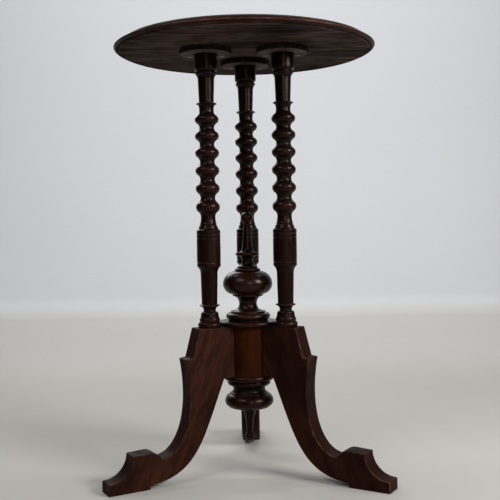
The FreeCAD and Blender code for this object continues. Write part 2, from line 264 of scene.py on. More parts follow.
def axis_rows(outline, soft=SOFT, reach=RUB_REACH):
    """Rows of a closed turning: from the axis, along its softened outline, back to the axis."""
    points = list(outline.points)
    if points[0].x > 0:
        points.insert(0, Vector((0.0, points[0].y)))
    if points[-1].x > 0:
        points.append(Vector((0.0, points[-1].y)))
    points = softened(points, soft)
    return eased(points, bends(points), reach)


print("turnings have", SIDES, "sides; the sample bead has", len(axis_rows(sample)), "rings")

# %% [markdown]
# ## Pieces with grain
# Every piece was cut from a plank. Besides `rub`, each point of a mesh gets `grain`: a place
# inside that plank, with its third number along the grain. Generated coordinates would be
# less work, but a pattern that reads `grain` follows the wood even after the piece has been
# stood, laid or turned, and each piece can come from a plank of its own.

# %% Make pieces
PLANK_STEP = Vector((37.0, 11.0, 53.0))


def new_piece(name, vertices, faces, rub, grain):
    """A mesh object at the origin, smooth, with the two attributes that the finish reads."""
    mesh = bpy.data.meshes.new(name)
    mesh.from_pydata(vertices, [], faces)
    mesh.attributes.new("rub", "FLOAT", "POINT").data.foreach_set("value", rub)
    flat = [number for place in grain for number in place]
    mesh.attributes.new("grain", "FLOAT_VECTOR", "POINT").data.foreach_set("vector", flat)
    mesh.validate()
    mesh.shade_smooth()
    return show(name, mesh)


def turned_piece(name, outline, foot, seed, flat_grain=False):
    """A turning that stands with its outline's zero height at foot, in millimetres."""
    vertices, faces, rub = lathe_grid(axis_rows(outline))
    shift, stand = PLANK_STEP * seed, Vector(foot)
    grain = [(Vector((y, z, x) if flat_grain else (x, y, z)) + shift) * MM
             for x, y, z in vertices]
    return new_piece(name, [(Vector(v) + stand) * MM for v in vertices], faces, rub, grain)


print("planks lie", [round(number) for number in PLANK_STEP], "mm apart")

# %% [markdown]
# ## Nodes in few words
# Finishes and repeated pieces are made of nodes. `add` makes a node and sets it, and `feed`
# gives it its inputs, each a plain value or a link from another node. Linking by hand in the
# editor does the same, but words can be read again and changed.

# %% Add and feed nodes
def feed(tree, made, inputs):
    """Set a node's inputs. Each is a plain value, another node's output, or that node."""
    for key, value in inputs.items():
        if isinstance(value, bpy.types.Node):
            value = value.outputs[0]
        if isinstance(value, bpy.types.NodeSocket):
            tree.links.new(value, made.inputs[key])
        else:
            made.inputs[key].default_value = value


def add(tree, kind, inputs=None, **settings):
    made = tree.nodes.new(kind)
    for key, value in settings.items():
        setattr(made, key, value)
    feed(tree, made, inputs or {})
    return made


print("node helpers:", [helper.__name__ for helper in (feed, add)])

# %% [markdown]
# ## What is done to a pattern
# A finish is laid on in thin layers, and each layer follows a pattern. A pattern is stretched
# along the grain, graded, combined with another, and used to mix two colours. Node groups
# could hold these steps, but a function that adds one or two nodes is easier to follow.

# %% Work on patterns
MIX_SHARE, MIX_FIRST, MIX_SECOND, MIX_RESULT = 0, 6, 7, 2


def stretched_noise(tree, place, label, across, along, detail, roughness):
    """Noise that repeats so often in a metre across the grain and along it."""
    mapping = add(tree, "ShaderNodeMapping",
                  {"Vector": place, "Scale": (across, across, along)})
    noise = add(tree, "ShaderNodeTexNoise", {"Vector": mapping, "Scale": 1.0, "Detail": detail,
                                             "Roughness": roughness}, label=label)
    return noise.outputs["Fac"]


def graded(tree, value, low, high, to_low=0.0, to_high=1.0):
    """A value stretched from one range to another, and held at its ends."""
    made = add(tree, "ShaderNodeMapRange",
               {"Value": value, "From Min": low, "From Max": high, "To Min": to_low,
                "To Max": to_high}, interpolation_type="SMOOTHSTEP")
    return made.outputs["Result"]


def mixed(tree, share, first, second):
    """One colour laid over another by a share; each is a colour or a socket."""
    first, second = [(*c, 1.0) if isinstance(c, tuple) else c for c in (first, second)]
    made = add(tree, "ShaderNodeMix", {MIX_SHARE: share, MIX_FIRST: first, MIX_SECOND: second},
               data_type="RGBA")
    return made.outputs[MIX_RESULT]


def combined(tree, operation, first, second):
    return add(tree, "ShaderNodeMath", {0: first, 1: second}, operation=operation).outputs[0]


def blank_material(name):
    material = bpy.data.materials.new(name)
    material.use_nodes = True
    return material, material.node_tree, material.node_tree.nodes["Principled BSDF"]


pattern_helpers = (stretched_noise, graded, mixed, combined)
print("pattern helpers:", [helper.__name__ for helper in pattern_helpers])

# %% [markdown]
# ## Old mahogany under dark polish
# The table is mahogany, stained dark and French polished, and a century of handling shows.
# Mahogany has three scales of pattern: broad darker bands, finer streaks along the grain,
# and short open pores. Stain and patina lie over them unevenly. The polish is worn through
# on rubbed arrises and black with wax in hollows, and its shellac tints what it mirrors. An
# image of wood would be quicker, but noise has no seams and no edge.

# %% The wood finish
BLACK_WAX_AND_SHADE = (0.0030, 0.0018, 0.0015)
SHELLAC = (1.0, 0.79, 0.73, 1.0)
COAT_ROUGHNESS = 0.18
# How often each repeats in a metre across and along the grain, its detail and roughness
NOISES = {"bands": (38.0, 5.0, 3.0, 0.5), "streaks": (420.0, 9.0, 4.0, 0.6),
          "pores": (2400.0, 95.0, 2.0, 0.5), "handling marks": (120.0, 90.0, 4.0, 0.65),
          "old patina": (17.0, 7.0, 2.0, 0.5), "smudges": (70.0, 28.0, 2.0, 0.45),
          "uneven stain": (95.0, 26.0, 3.0, 0.55)}


def times(tree, first, second):
    return combined(tree, "MULTIPLY", first, second)


def polished_wood(name, dark, warm, worn, band_share, contrast, roughness, shine, coat=0.0,
                  crest=0.05, blotch=0.15):
    """Stained wood with bands, streaks, pores, rubbed arrises, wax in hollows, a painted
    highlight on crests and painted shade in hollows.
    """
    material, tree, shader = blank_material(name)
    place = add(tree, "ShaderNodeAttribute", attribute_name="grain").outputs["Vector"]
    rub = add(tree, "ShaderNodeAttribute", attribute_name="rub").outputs["Fac"]
    noise = {label: stretched_noise(tree, place, label, *numbers)
             for label, numbers in NOISES.items()}

    figure = combined(tree, "ADD", times(tree, noise["bands"], band_share),
                      times(tree, noise["streaks"], 1 - band_share))
    # Painted highlight and painted shade: the crest share paints crests lighter and hollows
    # darker.
    figure = combined(tree, "ADD", figure, graded(tree, rub, -0.1, 0.14, -crest, crest))
    colour = mixed(tree, graded(tree, figure, 0.5 - contrast, 0.5 + contrast), dark, warm)
    pores = graded(tree, noise["pores"], 0.60, 0.70, 0.0, 0.75)
    for share in (graded(tree, noise["old patina"], 0.42, 0.66, 0.0, 0.55),
                  graded(tree, noise["uneven stain"], 0.45, 0.60, 0.0, blotch), pores):
        colour = mixed(tree, share, colour, BLACK_WAX_AND_SHADE)
    wear = times(tree, graded(tree, rub, 0.25, 1.0),
                 graded(tree, noise["handling marks"], 0.42, 0.60, 0.05, 1.0))
    wear = times(tree, wear, graded(tree, noise["old patina"], 0.60, 0.44, 0.2, 1.0))
    # Real wax and dirt in hollows and joints, and also painted shade where a negative rub is set
    # on shaded parts.
    wax_and_painted_shade = times(tree, graded(tree, rub, -0.05, -0.20, 0.0, 0.85),
                  graded(tree, noise["handling marks"], 0.30, 0.55, 0.55, 1.0))
    colour = mixed(tree, wax_and_painted_shade, mixed(tree, wear, colour, worn), BLACK_WAX_AND_SHADE)

    rough = graded(tree, noise["smudges"], 0.35, 0.65, *roughness)
    for share, more in ((pores, 0.12), (wax_and_painted_shade, 0.20)):
        rough = combined(tree, "ADD", rough, times(tree, share, more))
    relief = combined(tree, "SUBTRACT", times(tree, noise["smudges"], 0.30),
                      times(tree, pores, 0.10))
    bump = add(tree, "ShaderNodeBump", {"Height": relief, "Strength": 0.25, "Distance": 0.0004})
    feed(tree, shader, {"Base Color": colour, "Roughness": rough, "Normal": bump,
                        "Specular IOR Level": shine, "Specular Tint": SHELLAC,
                        "Coat Weight": coat, "Coat Roughness": COAT_ROUGHNESS})
    return material


print("noises in the wood:", list(NOISES))

# %% [markdown]
# ## One finish for each kind of piece
# Turnings are darkest and glossiest, because they were polished on the lathe. The sawn legs
# are plainer and duller, the hub between them stayed red, and the plates and the underside
# of the top were only stained. The numbers were found by rendering next to the photograph.

# %% Mix the finishes
turned_finish = polished_wood(
    "turned_wood_polish", dark=(0.0014, 0.0003, 0.0002), warm=(0.0180, 0.0040, 0.0022),
    worn=(0.080, 0.040, 0.030), band_share=0.5, contrast=0.19, roughness=(0.25, 0.34),
    shine=0.15, crest=0.08)
# Painted light: a lighter, warmer copy of the turned polish for the vase.
painted_light_vase_finish = polished_wood(
    "painted_light_vase_wood_polish", dark=(0.0024, 0.0006, 0.0004), warm=(0.025, 0.0068, 0.0034),
    worn=(0.085, 0.042, 0.030), band_share=0.5, contrast=0.19, roughness=(0.25, 0.33),
    shine=0.19)
plate_finish = polished_wood(
    "plate_wood_polish", dark=(0.0300, 0.0215, 0.0190), warm=(0.140, 0.1020, 0.0890),
    worn=(0.060, 0.040, 0.032), band_share=0.4, contrast=0.20, roughness=(0.55, 0.70),
    shine=0.02)
SAWN = {"band_share": 0.55, "contrast": 0.32, "roughness": (0.42, 0.60), "shine": 0.04,
        "coat": 0.01, "blotch": 0.40}
leg_finish = polished_wood(
    "leg_wood_polish", dark=(0.0260, 0.0086, 0.0056), warm=(0.054, 0.0162, 0.0088),
    worn=(0.080, 0.040, 0.027), **SAWN)
# Painted shade: a darker copy of the leg polish, for the right leg.
shaded_leg_finish = polished_wood(
    "shaded_leg_wood_polish", dark=(0.0190, 0.0060, 0.0038), warm=(0.040, 0.0114, 0.0062),
    worn=(0.095, 0.050, 0.036), **SAWN)
hub_finish = polished_wood(
    "hub_wood_polish", dark=(0.0240, 0.0046, 0.0007), warm=(0.043, 0.0090, 0.0015),
    worn=(0.070, 0.026, 0.010), band_share=0.4, contrast=0.3, roughness=(0.40, 0.55),
    shine=0.04, coat=0.01)
top_finish = polished_wood(
    "top_wood_polish", dark=(0.0220, 0.0066, 0.0040), warm=(0.060, 0.0190, 0.0105),
    worn=(0.130, 0.085, 0.068), band_share=0.35, contrast=0.17, roughness=(0.40, 0.50),
    shine=0.08, coat=0.05, crest=0.12)
underside_finish = polished_wood(
    "underside_wood_polish", dark=(0.0180, 0.0112, 0.0094), warm=(0.122, 0.0805, 0.0672),
    worn=(0.130, 0.085, 0.068), band_share=0.35, contrast=0.16, roughness=(0.70, 0.85),
    shine=0.01, blotch=0.5)
print("wood finishes:", [m.name for m in bpy.data.materials if m.name.endswith("_polish")])

# %% [markdown]
# ## Handing a piece over
# A finished piece takes the place of a packed one. Three calls say which body it moves with,
# which kind of material it has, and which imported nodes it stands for. They could be written
# out for every piece, but in one function none of them can be forgotten.

# %% Finish a piece
def finished(piece, finish, slot, *nodes):
    """Polish a piece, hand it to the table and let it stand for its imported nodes."""
    piece.data.materials.clear()
    piece.data.materials.append(finish)
    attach(piece, "root")
    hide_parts(*nodes)
    print(piece.name, len(piece.data.polygons), "faces")
    return piece


print("names of the packed nodes:", sorted(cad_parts))

# %% [markdown]
# ## The tripod's layout
# Three legs stand at a third of a turn from each other, the rear one straight back along +Y.
# The columns stand on the legs, on a circle round the hub, and the plates above them carry
# the top. All heights are counted from the floor.

# %% Where things stand
LEG_ANGLES = {"rear": 90.0, "left": 210.0, "right": 330.0}
HUB_FLOOR = 168.5
LEG_TOP = 256.5
COLUMN_CIRCLE = 75.3
PLATE_UNDERSIDE = 720.5
TOP_UNDERSIDE = 730.0


def round_the_axis(radius, angle, height):
    turn = math.radians(angle)
    return (radius * math.cos(turn), radius * math.sin(turn), height)


print("column feet:", [tuple(round(c) for c in round_the_axis(COLUMN_CIRCLE, a, LEG_TOP))
                       for a in LEG_ANGLES.values()])

# %% [markdown]
# ## Trees for what repeats
# Bobbins and screws repeat, and Geometry Nodes suit that: a tree has named inputs, sets
# copies on points, makes them real and gives them their material. An Array modifier copies
# too, but it can't make each copy shorter or turn each one by chance.

# %% Open, close and run a tree
def open_tree(name, inputs):
    """An empty tree with named inputs: the tree, their identifiers and their outputs."""
    tree = bpy.data.node_groups.new(name, "GeometryNodeTree")
    face = tree.interface
    face.new_socket("Geometry", in_out="INPUT", socket_type="NodeSocketGeometry")
    sockets = {}
    for label, kind in inputs.items():
        made = face.new_socket(label, in_out="INPUT", socket_type="NodeSocket" + kind)
        sockets[label] = made.identifier
    face.new_socket("Geometry", in_out="OUTPUT", socket_type="NodeSocketGeometry")
    return tree, sockets, add(tree, "NodeGroupInput").outputs


def close_tree(tree, geometry, finish):
    dressed = add(tree, "GeometryNodeSetMaterial", {"Geometry": geometry, "Material": finish})
    add(tree, "NodeGroupOutput", {0: dressed})
    print(tree.name, "has", len(tree.nodes), "nodes")


def run_tree(piece, tree, sockets, values):
    """What a tree makes of a piece, as a plain mesh; no modifier is left on the piece."""
    modifier = piece.modifiers.new(tree.name, "NODES")
    modifier.node_group = tree
    for label, value in values.items():
        modifier[sockets[label]] = value
    graph = bpy.context.evaluated_depsgraph_get()
    mesh = bpy.data.meshes.new_from_object(piece.evaluated_get(graph))
    piece.modifiers.clear()
    return mesh


print("node trees so far:", len(bpy.data.node_groups))

# %% [markdown]
# ## A string of bobbins
# Bobbin turning is one swelling cut again and again along a spindle. A turner steps it off
# with dividers; here a tree does it. The object's own mesh is a single bobbin one unit high.
# The tree lays points up the axis, sets a bobbin on each, and makes every one a little
# shorter than the one below, as on the table. Neighbours share a neck, so their rings are
# merged into one skin.

# %% Build the bobbin tree
MERGE_DISTANCE = 0.01


def bobbin_tree():
    tree, sockets, given = open_tree("bobbin_string", {
        "Count": "Int", "First height": "Float", "Height step": "Float", "Finish": "Material"})
    first, less = given["First height"], given["Height step"]
    index = add(tree, "GeometryNodeInputIndex").outputs[0]
    height = combined(tree, "SUBTRACT", first, times(tree, index, less))
    pairs = times(tree, 0.5, times(tree, index, combined(tree, "SUBTRACT", index, 1.0)))
    below = combined(tree, "SUBTRACT", times(tree, index, first), times(tree, pairs, less))
    place = add(tree, "ShaderNodeCombineXYZ", {"Z": below})
    size = add(tree, "ShaderNodeCombineXYZ", {"X": 1.0, "Y": 1.0, "Z": height})
    points = add(tree, "GeometryNodePoints", {"Count": given["Count"]})
    spread = add(tree, "GeometryNodeSetPosition", {"Geometry": points, "Position": place})
    string = add(tree, "GeometryNodeInstanceOnPoints",
                 {"Points": spread, "Instance": given["Geometry"], "Scale": size})
    real = add(tree, "GeometryNodeRealizeInstances", {0: string})
    skin = add(tree, "GeometryNodeMergeByDistance",
               {"Geometry": real, "Distance": MERGE_DISTANCE})
    close_tree(tree, skin, given["Finish"])
    return tree, sockets


bobbin_nodes, bobbin_sockets = bobbin_tree()

# %% [markdown]
# ## One bobbin, then the string
# A bobbin is a round crest that flows into half a hollow on either side. It is drawn at its
# mean height so that the arcs are true, and then squeezed to one unit for the tree to scale.

# %% Make the string
BOBBIN_COUNT = 6
BOBBIN_FIRST_HEIGHT = 32.0
BOBBIN_HEIGHT_STEP = 0.88
BOBBIN_RADIUS = 20.4
BOBBIN_NECK = 12.4


def bobbin_string():
    mean = BOBBIN_FIRST_HEIGHT - BOBBIN_HEIGHT_STEP * (BOBBIN_COUNT - 1) / 2
    one = Outline(BOBBIN_NECK).to_level(mean / 4, (BOBBIN_NECK + BOBBIN_RADIUS) / 2)
    one.bead(mean / 2, BOBBIN_RADIUS).to_upright(mean / 4, BOBBIN_NECK)
    vertices, faces, rub = lathe_grid(list(zip(one.points, bends(one.points))))
    unit = [(x, y, z / mean) for x, y, z in vertices]
    bobbin = new_piece("bobbin", unit, faces, rub, unit)
    mesh = run_tree(bobbin, bobbin_nodes, bobbin_sockets, {
        "Count": BOBBIN_COUNT, "First height": BOBBIN_FIRST_HEIGHT,
        "Height step": BOBBIN_HEIGHT_STEP, "Finish": turned_finish})
    bpy.data.objects.remove(bobbin)
    return mesh


string_mesh = bobbin_string()
string_height = max(v.co.z for v in string_mesh.vertices)
print("string of", BOBBIN_COUNT, "bobbins,", round(string_height, 1), "mm high")

# %% [markdown]
# ## The rest of a column
# Below the bobbins are two beads on a flat foot, a collar, a plain shaft and a barrel with
# scribed rings; above them another collar, a shaft and a cap. A turner cuts these between
# the same two centres as the bobbins, so each end is drawn as one outline.

# %% Draw a column's two ends
COLUMN_RADIUS = 20.3
SHAFT_RADIUS = 13.4
CAP_RADIUS = 19.3
SCRIBE = (1.6, 0.8)


def collar(line):
    return line.to_level(6.6, 14.1).rise(1.6, 17.4).rise(1.0).rise(1.8, 13.9)


def column_foot():
    line = Outline(18.2).bead(9.0, COLUMN_RADIUS).step(16.2).bead(7.7, 17.6)
    line.step(15.9).rise(7.3, 14.8).to_level(2.8, 12.4).to_upright(2.4, 10.4)
    collar(line).step(SHAFT_RADIUS).rise(52.8, 14.6).to_level(12.0, COLUMN_RADIUS)
    for plain in (5.5, 39.7, 5.5):
        line.rise(plain).scribe(*SCRIBE)
    line.rise(5.5).rise(3.0, 16.9).rise(5.6, 15.1).step(SHAFT_RADIUS)
    return line.bead(4.6, 14.3).to_upright(10.5, BOBBIN_NECK)


def column_head():
    line = collar(Outline(BOBBIN_NECK).rise(3.8)).step(12.6).rise(39.0, 14.0)
    line.to_level(7.0, 16.4).bead(5.0, 18.0).step(15.6).rise(1.5)
    return line.to_upright(4.5, CAP_RADIUS).rise(23.7)


foot, head = column_foot(), column_head()
print("column foot", round(foot.points[-1].y, 1), "mm, head", round(head.points[-1].y, 1), "mm")

# %% [markdown]
# ## A column in one skin
# Foot, string and head meet in rings of the same size, so their points can be merged and the
# column stays one closed skin, as it is one length of wood. Three meshes set on each other
# would look alike, but would leave faces inside.

# %% Join foot, string and head
COLUMN_SOFT = 0.4


def column_parts():
    """Vertices, faces and rub of a whole column."""
    low = softened([Vector((0.0, 0.0))] + foot.points, COLUMN_SOFT)
    high = softened(head.points + [Vector((0.0, head.points[-1].y))], COLUMN_SOFT)
    skin = bmesh.new()
    layer = skin.verts.layers.float.new("rub")

    def add_grid(vertices, faces, rub, height):
        made = []
        for (x, y, z), value in zip(vertices, rub):
            vert = skin.verts.new((x, y, z + height))
            vert[layer] = value
            made.append(vert)
        for corners in faces:
            skin.faces.new([made[i] for i in corners])

    lift = foot.points[-1].y
    add_grid(*lathe_grid(eased(low, bends(low), RUB_REACH)), 0.0)
    values = [0.0] * len(string_mesh.vertices)
    string_mesh.attributes["rub"].data.foreach_get("value", values)
    add_grid([tuple(v.co) for v in string_mesh.vertices],
             [tuple(p.vertices) for p in string_mesh.polygons], values, lift)
    add_grid(*lathe_grid(eased(high, bends(high), RUB_REACH)), lift + string_height)
    bmesh.ops.remove_doubles(skin, verts=skin.verts, dist=MERGE_DISTANCE)
    bmesh.ops.recalc_face_normals(skin, faces=skin.faces)
    skin.verts.index_update()
    parts = ([v.co.copy() for v in skin.verts],
             [[v.index for v in f.verts] for f in skin.faces], [v[layer] for v in skin.verts])
    open_edges = sum(not e.is_manifold for e in skin.edges)
    skin.free()
    print("column skin:", len(parts[0]), "points,", open_edges, "open edges")
    return parts


column_vertices, column_faces, column_rub = column_parts()

# %% [markdown]
# ## Three columns
# The columns came off one lathe from one pattern, so they share a shape, and only the grain
# and the way they are turned differ.

# %% Stand the columns
COLUMN_PLANK_STEP = Vector((90.0, 35.0, 610.0))
COLUMN_TURN = 40
for seed, (side, angle) in enumerate(LEG_ANGLES.items()):
    stand = Vector(round_the_axis(COLUMN_CIRCLE, angle, LEG_TOP))
    turn = Matrix.Rotation(math.radians(angle + COLUMN_TURN * seed), 3, "Z")
    shift = COLUMN_PLANK_STEP * (seed + 1)
    column = new_piece(side + "_turned_column",
                       [(turn @ v + stand) * MM for v in column_vertices], column_faces,
                       column_rub, [(v + shift) * MM for v in column_vertices])
    finished(column, turned_finish, "turned_wood", side + "_column")

# %% [markdown]
# ## The finial
# On the hub's axis stand a disc, a vase with a flattened bulb, and a slim spire with a ball.
# They are separate turnings, glued by tenons, so each gets an outline of its own and stands
# where the one below it ends. The vase gets a lighter, warmer copy of the turned polish, as
# painted light for the bounce light and reflections on its bulb.

# %% Turn the finial
def on_the_axis(name, line, seat, seed, finish, node_name, flat_grain=False):
    """Turn a piece on the table's axis, finish it, and tell how high it ends."""
    piece = turned_piece(name, line, (0, 0, seat), seed, flat_grain)
    finished(piece, finish, "turned_wood", node_name)
    return seat + line.points[-1].y


disc = Outline(49.0).bead(7.0, 51.0)
vase_seat = on_the_axis("hub_cap_disc", disc, LEG_TOP, 1, turned_finish, "hub_disc", True)

vase = Outline(34.5).rise(3.0).bead(10.5, 38.8).step(30.3).rise(3.5)
vase.step(24.6).bead(26.5, 15.4).step(26.8).rise(3.0)
vase.step(27.0).to_upright(18.5, 43.4).to_level(22.0, 20.5).bead(4.5, 22.5)
spire_seat = on_the_axis("finial_bulb", vase, vase_seat, 2, painted_light_vase_finish, "finial_vase")

spire = Outline(16.8).bead(4.0, 18.0).to_upright(9.0, 9.7).to_level(9.7, 19.4)
spire.bead(5.4, 20.6).step(14.2).to_upright(9.0, 9.0).rise(41.8, 5.2).ball(10.6)
spire_top = on_the_axis("finial_point", spire, spire_seat, 3, turned_finish, "finial_spire")
print("finial top at", round(spire_top, 1), "mm")

# %% [markdown]
# ## The pendant
# Under the hub hang a pendant of discs, a waist and a bulb, and below it a slim drop that
# ends in a ball. They hide the ends of the leg joints from below. Both are drawn upward like
# the rest, so their feet are found by counting down from the hub.

# %% Turn the pendant
DROP_BALL, DROP_NECK = 8.4, 5.2
pendant = Outline(27.0).to_upright(2.6, 36.4).rise(1.5)
pendant.step(37.6).to_upright(8.0, 42.7).to_level(13.0, 34.6)
pendant.step(32.6).rise(2.0).to_upright(6.7, 27.9).to_level(6.8, 34.6)
pendant.bead(10.0, 38.0).step(42.4).bead(8.0, 44.0)
pendant_foot = HUB_FLOOR - pendant.points[-1].y
on_the_axis("hub_pendant", pendant, pendant_foot, 4, turned_finish, "pendant")

neck_height = math.sqrt(DROP_BALL ** 2 - DROP_NECK ** 2)
drop = Outline(0.0).to_upright(DROP_BALL, DROP_BALL).to_level(neck_height, DROP_NECK)
drop.to_level(44.9, 12.3)
drop_foot = pendant_foot - drop.points[-1].y
on_the_axis("hub_drop", drop, drop_foot, 5, turned_finish, "pendant_drop")
print("drop ends", round(drop_foot, 1), "mm above the floor")

# %% [markdown]
# ## Moving an outline inward
# An arris is rounded by planing the wood back a little on either side of it. On a sawn piece
# that is its outline, moved inward near each face. Scaling it about its middle would be
# simpler, but would take more off far from the middle than near it.

# %% Move an outline inward
def inset(points, distance):
    """A closed outline moved inward, with its corners kept on their bisectors."""
    result = []
    for i, here in enumerate(points):
        back = (here - points[i - 1]).normalized()
        ahead = (points[(i + 1) % len(points)] - here).normalized()
        normal = Vector((-(back.y + ahead.y), back.x + ahead.x))
        normal.normalize()
        lean = max(0.5, normal.dot(Vector((-ahead.y, ahead.x))))
        result.append(here + normal * (distance / lean))
    return result


square = [Vector((0, 0)), Vector((10, 0)), Vector((10, 10)), Vector((0, 10))]
print("a square of 10 mm, moved in by 1:",
      [tuple(round(c, 2) for c in corner) for corner in inset(square, 1.0)])

# %% [markdown]
# ## Sawn pieces
# The legs are sawn from thick plank to a scrolled outline, and the hub is a short post.
# Both are an outline carried through a thickness, so one function serves. It draws the
# outline several times, pulled in a little near each face, which rounds the long arrises
# and leaves points where the rub can fade. A Bevel modifier could round the edges too, but
# it would not know where to put the rub.

# %% Carry an outline through a thickness
FACE_MARGIN = 2.4
EDGE_MARGIN = 3.0
ARRIS_RUB, CREST_RUB, JOINT_RUB = 0.6, 1.0, -0.6
CREST_SHARE = 0.3


def sawn_piece(name, outline, thickness, arris, to_table, to_grain, corner=0.8, edge=0.0,
               joint=None):
    """An outline, anticlockwise, carried through a thickness with rounded arrises.

    corner and edge are the rub of its sharp corners and of its sawn edge; nearer than joint
    the piece meets its neighbour, and dirt fills the line between them.
    """
    corners = corners_of(outline, closed=True)
    half, crest = thickness / 2, CREST_SHARE * arris
    skirt = softened(outline, arris, True, corners)
    corner_rub = [max(0.0, value) for value in bends(skirt, closed=True)]
    rings = [(FACE_MARGIN, -half, 0.0), (arris, -half, ARRIS_RUB),
             (crest, crest - half, CREST_RUB), (0.0, arris - half, ARRIS_RUB),
             (0.0, arris + EDGE_MARGIN - half, edge)]
    rings += [(pull, -depth, value) for pull, depth, value in reversed(rings)]
    vertices, faces, rub = [], [], []
    for pull, depth, value in rings:
        ring = softened(inset(outline, pull), max(0.2, arris - pull), True, corners)
        on_edge = pull < FACE_MARGIN
        for point, sharp in zip(ring, corner_rub):
            vertices.append((point.x, point.y, depth))
            worn = max(-1.0, min(1.0, value + corner * sharp)) if on_edge else value
            rub.append(JOINT_RUB if joint and on_edge and point.x < joint else worn)
    count = len(skirt)
    for low in range(0, (len(rings) - 1) * count, count):
        for k in range(count):
            here, after = low + k, low + (k + 1) % count
            faces.append((here, after, after + count, here + count))
    faces.append(tuple(reversed(range(count))))
    faces.append(tuple(range(len(vertices) - count, len(vertices))))
    piece = new_piece(name, [to_table(*v) * MM for v in vertices], faces, rub,
                      [to_grain(*v) * MM for v in vertices])
    skin = bmesh.new()
    skin.from_mesh(piece.data)
    bmesh.ops.recalc_face_normals(skin, faces=skin.faces)
    skin.to_mesh(piece.data)
    skin.free()
    print(name, "has", len(rings), "rings of", count, "points")
    return piece


print("rub fades over", FACE_MARGIN, "mm of a face and", EDGE_MARGIN, "mm of an edge")

# %% [markdown]
# ## Curves of a leg
# A leg's outline was drawn on a board and sawn along it. The long shin and calf are curves
# with two handles, which bend slowly, as a hand draws them; the cove and the rounds of the
# foot are shorter and turn by about a quarter, so they are drawn from their corner.

# %% Curves for sawing
def slow_curve(start, first, second, end, steps=26):
    points = []
    for i in range(1, steps + 1):
        t = i / steps
        s = 1 - t
        points.append(start * s ** 3 + first * (3 * s * s * t) + second * (3 * s * t * t)
                      + end * t ** 3)
    return points


def rounded(start, corner, end, steps=10):
    """Quarter-like curve tangent to both sides of its corner."""
    weight = math.sqrt(0.5)
    points = []
    for i in range(1, steps + 1):
        t = i / steps
        a, b, c = (1 - t) ** 2, 2 * weight * t * (1 - t), t ** 2
        points.append((start * a + corner * b + end * c) / (a + b + c))
    return points


def between(start, end, run_share, fall_share):
    return Vector((start.x + (end.x - start.x) * run_share,
                   start.y + (end.y - start.y) * fall_share))


print("halfway along the square:", tuple(between(square[0], square[2], 0.5, 0.5)))

# %% [markdown]
# ## The scroll legs
# Each leg has an upright block under its column, a small ear where the block ends, a long
# hollow shin, and a foot with a hump, a cove and a flat toe. The outline goes round them in
# that order and comes back up the calf. Tracing a picture would be quicker, but here every
# place hangs on a few sizes that can be changed.

# %% Draw a leg
HUB_RADIUS = 40.0
LEG_THICKNESS = 34.0
LEG_REACH = 268.0
BLOCK_MARGIN = 6.4
hub_flat = math.sqrt(HUB_RADIUS ** 2 - (LEG_THICKNESS / 2) ** 2)


def leg_outline():
    block_end = COLUMN_CIRCLE + COLUMN_RADIUS + BLOCK_MARGIN
    notch = Vector((block_end + 13.5, LEG_TOP - 48.5))
    ear = Vector((notch.x + 11.5, notch.y - 1.5))
    toe_top = Vector((LEG_REACH - 3.0, 19.0))
    hump_end = Vector((toe_top.x - 39.5, 58.5))
    hump_start = Vector((hump_end.x - 31.5, 60.0))
    saddle = Vector((hump_start.x - 19.0, 47.5))
    heel = Vector((LEG_REACH - 72.0, 6.5))
    knee = Vector((hub_flat + 21.5, HUB_FLOOR))
    points = [Vector((hub_flat, LEG_TOP)), Vector((block_end, LEG_TOP)), notch, ear]
    points += slow_curve(ear, between(ear, saddle, -0.39, 0.62),
                         between(saddle, ear, 0.77, 0.0), saddle)
    points += rounded(saddle, between(saddle, hump_start, 0.35, 1.0), hump_start)
    points.append(hump_end)
    points += rounded(hump_end, Vector((hump_end.x, toe_top.y)), toe_top)
    points += rounded(toe_top, Vector((LEG_REACH, toe_top.y)), Vector((LEG_REACH, 16.0)), 5)
    points += [Vector((LEG_REACH, 0.0)), Vector((heel.x, 0.0)), heel]
    points += slow_curve(heel, between(heel, knee, 0.62, 0.04),
                         between(knee, heel, 0.30, 0.62), knee)
    points.append(Vector((hub_flat, HUB_FLOOR)))
    return list(reversed(points))


leg_points = leg_outline()
print("leg outline:", len(leg_points), "points")

# %% [markdown]
# ## Three planks
# The legs are alike but come from three planks, and the grain of each slants down its leg,
# which keeps the shin strong. The right leg gets a darker copy of the leg polish, as painted
# shade for its side that is turned from the key light. Copies of one mesh would be lighter,
# but all three would then show the same grain.

# %% Saw the legs
LEG_ARRIS = 1.3
GRAIN_SLANT = Matrix.Rotation(math.radians(24), 3, "Y")
LEG_PLANK_STEP = Vector((140.0, 60.0, 300.0))
for seed, (side, angle) in enumerate(LEG_ANGLES.items()):
    turn = Matrix.Rotation(math.radians(angle), 3, "Z")
    shift = LEG_PLANK_STEP * (seed + 1)
    # edge=-0.12 darkens the sawn edges all round: partly dirt, partly painted shade.
    leg = sawn_piece(side + "_scroll_leg", leg_points, LEG_THICKNESS, LEG_ARRIS,
                     lambda x, z, depth, turn=turn: turn @ Vector((x, -depth, z)),
                     lambda x, z, depth, shift=shift: GRAIN_SLANT @ Vector((x, depth, z)) + shift,
                     edge=-0.12, joint=hub_flat + 1.6)
    finished(leg, shaded_leg_finish if side == "right" else leg_finish, "leg_wood", side + "_leg")

# %% [markdown]
# ## The hub
# The legs are dovetailed into a round post with three flats. Between the legs its face stays
# out of reach of hands and light, so its polish kept a redder colour. Dirt fills the lines
# where it meets the legs, so its corners get a negative rub.

